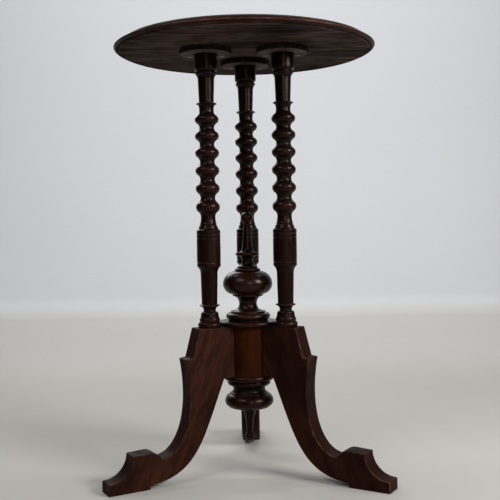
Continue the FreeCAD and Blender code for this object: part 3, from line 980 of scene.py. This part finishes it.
# %% Shape the hub
HUB_STEPS = 24
HUB_PLANK = Vector((400, 80, 900))
half_flat = math.degrees(math.asin(LEG_THICKNESS / 2 / HUB_RADIUS))
hub_points = []
for angle in sorted(LEG_ANGLES.values()):
    for k in range(HUB_STEPS + 1):
        spot = angle + half_flat + (120 - 2 * half_flat) * k / HUB_STEPS
        hub_points.append(Vector(round_the_axis(HUB_RADIUS, spot, 0.0)[:2]))
hub = sawn_piece("hub_post", hub_points, LEG_TOP - HUB_FLOOR, 0.5,
                 lambda x, y, depth: Vector((x, y, depth + (LEG_TOP + HUB_FLOOR) / 2)),
                 lambda x, y, depth: Vector((x, y, depth)) + HUB_PLANK, corner=-1.2)
finished(hub, hub_finish, "hub_wood", "hub")

# %% [markdown]
# ## The rim of the top
# Two boards are glued edge to edge and turned to a moulded rim: a small fillet round the flat
# underside, a rounded lip, and a thumb moulding set back on top. The rounds get a faint
# negative rub, which darkens them, and only their arrises stay lighter.

# %% Draw the rim
TOP_RADIUS = 224.9
TOP_SIDES = 176
RIM_RUB = -0.09
top_line = Outline(TOP_RADIUS - 9.0).rise(1.2).to_upright(4.3, TOP_RADIUS).rise(1.5)
top_line.step(TOP_RADIUS - 8.0).rise(1.5).to_level(7.48, TOP_RADIUS - 18.0)
top_rows = []
for point, value in axis_rows(top_line, soft=0.9, reach=2.0):
    on_lip, on_thumb = point.x > TOP_RADIUS - 8.7, point.x > TOP_RADIUS - 17.5 and point.y > 4.0
    top_rows.append((point, RIM_RUB if (on_lip or on_thumb) and abs(value) < 0.3 else value))
top_grid = lathe_grid(top_rows, TOP_SIDES)
print("rim:", len(top_rows), "rings,", round(top_line.points[-1].y, 2), "mm thick")

# %% [markdown]
# ## Two boards
# One turned disc is made and cut along the joint, so both boards share a rim. Two halves
# could be modelled apart, but their rims would not be sure to meet. The grain runs along the
# joint, and a dark line shows where the glue has let dirt in.

# %% Part the top
JOINT_Y = -8.0
JOINT_GAP = 0.12
JOINT_MARGIN = 2.2
JOINT_DIRT = -0.9
BOARD_STEP = Vector((310, 20, 700))
SHARP_EDGE = math.radians(50)


def board(name, front, seed):
    vertices, faces, rub = top_grid
    piece = new_piece(name, vertices, faces, rub, vertices)
    skin = bmesh.new()
    skin.from_mesh(piece.data)
    side = -1 if front else 1
    edge = JOINT_Y + side * JOINT_GAP
    for offset in (side * JOINT_MARGIN, 0.0):
        everything = list(skin.verts) + list(skin.edges) + list(skin.faces)
        bmesh.ops.bisect_plane(skin, geom=everything, plane_co=(0, edge + offset, 0),
                               plane_no=(0, -side, 0), clear_outer=offset == 0.0)
    bmesh.ops.holes_fill(skin, edges=[e for e in skin.edges if e.is_boundary])
    bmesh.ops.recalc_face_normals(skin, faces=skin.faces)
    for line in skin.edges:
        line.smooth = line.calc_face_angle(0.0) < SHARP_EDGE
    rub_layer = skin.verts.layers.float["rub"]
    grain_layer = skin.verts.layers.float_vector["grain"]
    for vert in skin.verts:
        x, y, z = vert.co
        if abs(y - edge) < 0.01:
            vert[rub_layer] = JOINT_DIRT
        vert[grain_layer] = (Vector((y, z, x)) + BOARD_STEP * seed) * MM
        vert.co = Vector((x, y, z + TOP_UNDERSIDE)) * MM
    skin.to_mesh(piece.data)
    skin.free()
    return piece


print("the boards part at", JOINT_Y, "mm, with", 2 * JOINT_GAP, "mm between them")

# %% [markdown]
# ## Polished above, raw below
# The upper face and the rim were polished and the underside never was, so its flat face gets
# the rougher, greyer finish. Two objects could carry the two finishes, but a second material
# on the faces that look down keeps each board in one piece.

# %% Finish both boards
FACES_DOWN = -0.9
for name, front, seed in (("front", True, 1), ("rear", False, 2)):
    half_top = board("top_board_" + name, front, seed)
    finished(half_top, top_finish, "top_wood", f"top_{name}_board")
    half_top.data.materials.append(underside_finish)
    for polygon in half_top.data.polygons:
        polygon.material_index = int(polygon.normal.z < FACES_DOWN)

# %% [markdown]
# ## Plates under the top
# A round plate on the head of each column spreads its load and takes the screws. They are
# plain turnings with one rounded edge. That edge, in the shade of the top, and the ring round
# the column, where the plate meets it, are darkened as painted shade, so the rub of those
# points is set one by one. Two extra rows let the ring fade.

# %% Turn the plates
PLATE_RADIUS = 44.0
PLATE_ROUND = 1.6
PLATE_SHADE_RUB = -0.3
plate = Outline(0.0).step(CAP_RADIUS + 1.0).step(CAP_RADIUS + 12.0)
plate.step(PLATE_RADIUS - PLATE_ROUND).to_upright(3.0, PLATE_RADIUS).rise(6.5)
for seed, (side, angle) in enumerate(LEG_ANGLES.items()):
    stand = round_the_axis(COLUMN_CIRCLE, angle, PLATE_UNDERSIDE)
    round_plate = turned_piece(side + "_round_plate", plate, stand, 6 + seed, True)
    # Painted shade: the plate's edge and the ring round the column get a negative rub, which
    # darkens them.
    plate_painted_shade = round_plate.data.attributes["rub"].data
    for vert in round_plate.data.vertices:
        near_cap = (vert.co.xy - Vector(stand[:2]) * MM).length < (CAP_RADIUS + 2.0) * MM
        if near_cap or vert.co.z > (PLATE_UNDERSIDE + 0.5) * MM:
            plate_painted_shade[vert.index].value = PLATE_SHADE_RUB
    finished(round_plate, plate_finish, "turned_wood", side + "_plate")

# %% [markdown]
# ## Screws in the plates
# Three countersunk screws go up through each plate. In the tree a slot is cut into one head,
# the screw is set on a small ring of points, and the ring is set on each column. A seeded
# turn leaves every slot at its own angle, as a hand driver does.

# %% Build the screw tree
SCREW_SIDES = 28
SCREW_TIP = 0.2 * MM
SLOT_LENGTH, SLOT_SINK = 3.0, -0.1


def screw_tree():
    tree, sockets, given = open_tree("plate_screw_rings", {
        "Head radius": "Float", "Shank radius": "Float", "Head height": "Float",
        "Length": "Float", "Slot width": "Float", "Screws": "Int", "Ring radius": "Float",
        "Seed": "Int", "Finish": "Material"})
    head_radius, head_height = given["Head radius"], given["Head height"]
    shank_radius = given["Shank radius"]
    head = add(tree, "GeometryNodeMeshCone",
               {"Vertices": SCREW_SIDES, "Radius Top": shank_radius,
                "Radius Bottom": head_radius, "Depth": head_height})
    shank = add(tree, "GeometryNodeMeshCone",
                {"Vertices": SCREW_SIDES, "Radius Top": SCREW_TIP,
                 "Radius Bottom": shank_radius, "Depth": given["Length"]})
    whole = add(tree, "GeometryNodeMeshBoolean", operation="UNION")
    for part in (head, shank):
        feed(tree, whole, {"Mesh 2": part})
    slot_size = add(tree, "ShaderNodeCombineXYZ",
                    {"X": times(tree, head_radius, SLOT_LENGTH), "Y": given["Slot width"],
                     "Z": head_height})
    slot_box = add(tree, "GeometryNodeMeshCube", {"Size": slot_size})
    sink = add(tree, "ShaderNodeCombineXYZ", {"Z": times(tree, head_height, SLOT_SINK)})
    slot = add(tree, "GeometryNodeTransform", {"Geometry": slot_box, "Translation": sink})
    screw = add(tree, "GeometryNodeMeshBoolean", {"Mesh 1": whole, "Mesh 2": slot},
                operation="DIFFERENCE")
    ring = add(tree, "GeometryNodeMeshCircle",
               {"Vertices": given["Screws"], "Radius": given["Ring radius"]})
    facing = add(tree, "GeometryNodeInputNamedAttribute", {"Name": "facing"},
                 data_type="FLOAT_VECTOR").outputs["Attribute"]
    rings = add(tree, "GeometryNodeInstanceOnPoints",
                {"Points": given["Geometry"], "Instance": ring, "Rotation": facing})
    spots = add(tree, "GeometryNodeRealizeInstances", {0: rings})
    slant = add(tree, "FunctionNodeRandomValue", data_type="FLOAT_VECTOR")
    feed(tree, slant, {0: (0, 0, 0), 1: (0, 0, 2 * math.pi), "Seed": given["Seed"]})
    screws = add(tree, "GeometryNodeInstanceOnPoints",
                 {"Points": spots, "Instance": screw, "Rotation": slant})
    close_tree(tree, add(tree, "GeometryNodeRealizeInstances", {0: screws}), given["Finish"])
    return tree, sockets


screw_nodes, screw_sockets = screw_tree()

# %% [markdown]
# ## Old brass
# The screws are brass gone brown. One noise moves both the colour and the roughness, since
# brass is dullest where it has tarnished most. A flat colour would look like new brass.

# %% Mix the brass
def old_brass():
    material, tree, shader = blank_material("old_brass")
    place = add(tree, "ShaderNodeTexCoord").outputs["Object"]
    noise = add(tree, "ShaderNodeTexNoise", {"Vector": place, "Scale": 900.0, "Detail": 4.0})
    tarnish = noise.outputs["Fac"]
    tint = mixed(tree, graded(tree, tarnish, 0.35, 0.65), (0.075, 0.046, 0.021),
                 (0.22, 0.14, 0.058))
    feed(tree, shader, {"Metallic": 1.0, "Base Color": tint,
                        "Roughness": graded(tree, tarnish, 0.3, 0.7, 0.5, 0.3)})
    return material


brass = old_brass()
print("brass:", len(brass.node_tree.nodes), "nodes")

# %% [markdown]
# ## Setting the screws
# The tree reads a mesh of three points, one under each plate. Each carries the angle that
# its ring of screws faces, so the rings stand alike to their columns.

# %% Make the screws
SCREW_RING = (CAP_RADIUS + PLATE_RADIUS) / 2
HEAD_PROUD = 0.3
RING_TURN = 60
spots = [Vector(round_the_axis(COLUMN_CIRCLE, angle, PLATE_UNDERSIDE - HEAD_PROUD)) * MM
         for angle in LEG_ANGLES.values()]
screw_mesh = bpy.data.meshes.new("plate_screw_set")
screw_mesh.from_pydata(spots, [], [])
turns = [number for angle in LEG_ANGLES.values()
         for number in (0.0, 0.0, math.radians(angle + RING_TURN))]
screw_mesh.attributes.new("facing", "FLOAT_VECTOR", "POINT").data.foreach_set("vector", turns)
screws = show("plate_screw_set", screw_mesh)
screws.data = run_tree(screws, screw_nodes, screw_sockets, {
    "Head radius": 3.6 * MM, "Shank radius": 1.75 * MM, "Head height": 2.6 * MM,
    "Length": 18 * MM, "Slot width": 0.9 * MM, "Screws": 3, "Ring radius": SCREW_RING * MM,
    "Seed": 7, "Finish": brass})
finished(screws, brass, "screw_metal", "plate_screws")

# %% [markdown]
# ## Dowels
# The dowels are hidden in the joint of the boards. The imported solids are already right, so
# they only get a finish: raw beech with fine streaks along each dowel.

# %% Finish the dowels
def raw_beech():
    material, tree, shader = blank_material("raw_beech")
    place = add(tree, "ShaderNodeTexCoord").outputs["Object"]
    mapping = add(tree, "ShaderNodeMapping", {"Vector": place, "Scale": (1400, 60, 1400)})
    noise = add(tree, "ShaderNodeTexNoise", {"Vector": mapping, "Scale": 1.0, "Detail": 3.0})
    tint = mixed(tree, noise.outputs["Fac"], (0.30, 0.17, 0.085), (0.46, 0.30, 0.17))
    feed(tree, shader, {"Base Color": tint, "Roughness": 0.7})
    return material


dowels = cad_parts["top_dowels"]
dowels.data.materials.clear()
dowels.data.materials.append(raw_beech())
print("dowels:", len(dowels.data.polygons), "faces")

# %% [markdown]
# ## Floor and backdrop
# The table stands on warm grey paper that bends up into a cooler wall, so that no horizon is
# drawn hard. A curve with a profile could be swept, but one strip of mesh along a bent line
# is enough.

# %% Lay the sweep
BEND_START, BEND_RADIUS, BEND_STEPS = 2.36, 0.10, 15
PAPER_FRONT, PAPER_TOP, PAPER_SIDE = -2.8, 5.0, 3.2
sweep_line = [(PAPER_FRONT, 0.0), (BEND_START, 0.0)]
for k in range(1, BEND_STEPS + 1):
    a = math.radians(90 * k / BEND_STEPS)
    sweep_line.append((BEND_START + BEND_RADIUS * math.sin(a),
                       BEND_RADIUS - BEND_RADIUS * math.cos(a)))
sweep_line.append((BEND_START + BEND_RADIUS, PAPER_TOP))
sweep_mesh = bpy.data.meshes.new("paper_sweep")
sweep_mesh.from_pydata(
    [(x, y, z) for y, z in sweep_line for x in (-PAPER_SIDE, PAPER_SIDE)], [],
    [(i, i + 1, i + 3, i + 2) for i in range(0, 2 * len(sweep_line) - 2, 2)])
sweep_mesh.shade_smooth()
sweep = show("paper_sweep", sweep_mesh)
print("sweep:", len(sweep_mesh.polygons), "strips")

# %% [markdown]
# ## Paper
# Faint noise keeps the paper from looking flat. Its tint changes with distance, and that is
# painted light: a painted shadow behind the table, painted light toward the wall, and painted
# shade higher up the wall, which is also cooler. Lamps alone could make that fall of light, but
# each lamp also shows in the polish, so the paper takes it up.

# %% Tint the paper
def pale_paper():
    """The paper's material with its tree, its shader and the place on it as X, Y and Z."""
    material, tree, shader = blank_material("pale_paper")
    place = add(tree, "ShaderNodeTexCoord").outputs["Object"]
    noise = add(tree, "ShaderNodeTexNoise", {"Vector": place, "Scale": 2.5, "Detail": 3.0})
    spot = add(tree, "ShaderNodeSeparateXYZ", {0: place}).outputs
    back, height = spot["Y"], spot["Z"]

    floor = mixed(tree, noise.outputs["Fac"], (0.465, 0.447, 0.415), (0.500, 0.482, 0.450))
    # Painted shadow: a broad darker band on the floor behind the table.
    painted_shadow_band = times(tree, graded(tree, back, -0.05, 0.40, 0.0, 0.75),
                 graded(tree, back, 1.25, 0.55))
    # The painted shadow first, then painted light: the floor grows lighter toward the wall.
    for share, tint in ((painted_shadow_band, (0.42, 0.403, 0.372)),
                        (graded(tree, back, 0.7, 1.8), (0.575, 0.564, 0.537)),
                        (graded(tree, back, 1.6, 2.4), (0.650, 0.640, 0.612))):
        floor = mixed(tree, share, floor, tint)
    wall = mixed(tree, noise.outputs["Fac"], (0.715, 0.723, 0.745), (0.755, 0.763, 0.785))
    # Painted shade: the wall grows darker as it rises.
    wall = mixed(tree, graded(tree, height, 0.2, 1.7), wall, (0.575, 0.583, 0.610))
    tint = mixed(tree, graded(tree, height, 0.0, 0.07), floor, wall)
    feed(tree, shader, {"Base Color": tint, "Roughness": 0.85, "Specular IOR Level": 0.1})
    return material, tree, shader, spot


paper, paper_tree, paper_shader, paper_spot = pale_paper()
sweep_mesh.materials.append(paper)
print("paper:", len(paper_tree.nodes), "nodes")

# %% [markdown]
# ## Where the paper ends
# A studio's paper has edges, and from behind or above they would show. So far from the table
# the paper fades into the same pale surround that the world shows to the camera. Only camera
# rays see it fade: light and reflections still find plain paper.

# %% Fade the far paper
SURROUND, SURROUND_LEVEL = (0.90, 0.94, 1.0, 1.0), 0.55
aside = combined(paper_tree, "ABSOLUTE", paper_spot["X"], 0.0)
far_off = graded(paper_tree, aside, 1.15, 2.1)
for axis, near, far in (("Y", -0.5, -1.6), ("Z", 1.8, 2.8)):
    far_off = combined(paper_tree, "MAXIMUM", far_off,
                       graded(paper_tree, paper_spot[axis], near, far))
seen = add(paper_tree, "ShaderNodeLightPath").outputs["Is Camera Ray"]
haze = add(paper_tree, "ShaderNodeEmission", {"Color": SURROUND, "Strength": SURROUND_LEVEL})
faded = add(paper_tree, "ShaderNodeMixShader",
            {0: times(paper_tree, far_off, seen), 1: paper_shader, 2: haze})
feed(paper_tree, paper_tree.nodes["Material Output"], {"Surface": faded})
print("paper with its fade:", len(paper_tree.nodes), "nodes")

# %% [markdown]
# ## Studio light
# Dark polish shows lamps more than colour, so the lamps are placed for their reflections. On
# each bobbin of the photograph one highlight sits to the right and one to the upper left, and
# the plain shafts carry a thin band near the middle. That asks for a softbox on the right, a
# wide low one high on the left and a strip by the camera. A fourth lights the wall, and a
# weak one, aimed from behind, lights the table for views from there.

# %% Hang the lamps
TABLE_MIDDLE = (0.0, 0.0, 0.45)


def softbox(name, place, target, width, height, power, spread=180.0):
    data = bpy.data.lights.new(name, "AREA")
    data.shape = "RECTANGLE"
    data.size, data.size_y = width, height
    data.energy = power
    data.spread = math.radians(spread)
    lamp = show(name, data)
    lamp.location = place
    aim = Vector(target) - Vector(place)
    lamp.rotation_euler = aim.to_track_quat("-Z", "Y").to_euler()


softbox("key_softbox", (1.55, -1.00, 1.22), TABLE_MIDDLE, 0.80, 0.58, 36.0)
softbox("upper_left_softbox", (-0.97, -1.08, 1.67), TABLE_MIDDLE, 0.90, 0.15, 9.0)
softbox("front_strip", (0.42, -1.96, 0.95), TABLE_MIDDLE, 0.36, 0.74, 5.5)
softbox("wall_lamp", (0.0, 0.7, 2.6), (0.0, 2.85, 0.40), 3.0, 0.6, 57.0)
softbox("rear_fill", (-0.9, 1.9, 1.5), (0.0, 0.0, 0.40), 1.2, 0.8, 2.5, 80.0)

# %% [markdown]
# ## The surround
# Beyond the paper the room is dim, but a camera that looks past the paper should still see a
# pale studio. The Light Path node tells the two apart.

# %% Set the surround
ROOM_LEVEL = 0.06
world = bpy.data.worlds.new("studio")
bpy.context.scene.world = world
world.use_nodes = True
sky_tree = world.node_tree
sky_rays = add(sky_tree, "ShaderNodeLightPath").outputs["Is Camera Ray"]
feed(sky_tree, sky_tree.nodes["Background"],
     {"Color": SURROUND,
      "Strength": graded(sky_tree, sky_rays, 0.0, 1.0, ROOM_LEVEL, SURROUND_LEVEL)})
print("surround:", SURROUND_LEVEL, "to the camera,", ROOM_LEVEL, "to the table")

# %% [markdown]
# ## Camera
# The photograph was taken from just above half the table's height, so the top shows its
# underside and the feet their upper faces. A camera fitted to the outline gives the place,
# the lens and a slight roll.

# %% Set the camera
CAMERA_PLACE = (0.02136, -1.46037, 0.43340)
LENS, SENSOR = 59.96, 36.0
yaw, pitch, roll = math.radians(-0.6432), math.radians(-1.8206), math.radians(-0.8521)
ahead = Vector((math.sin(yaw) * math.cos(pitch), math.cos(yaw) * math.cos(pitch),
                math.sin(pitch)))
level = Vector((math.cos(yaw), -math.sin(yaw), 0.0))
upward = level.cross(ahead)
right = level * math.cos(roll) + upward * math.sin(roll)
up = upward * math.cos(roll) - level * math.sin(roll)
lens = bpy.data.cameras.new("camera")
lens.sensor_width, lens.lens = SENSOR, LENS
camera = show("camera", lens)
facing = Matrix((right, up, -ahead)).transposed().to_4x4()
camera.matrix_world = Matrix.Translation(CAMERA_PLACE) @ facing
bpy.context.scene.camera = camera
bpy.context.scene.view_settings.view_transform = "Standard"
print("camera at", [round(c, 3) for c in camera.location])
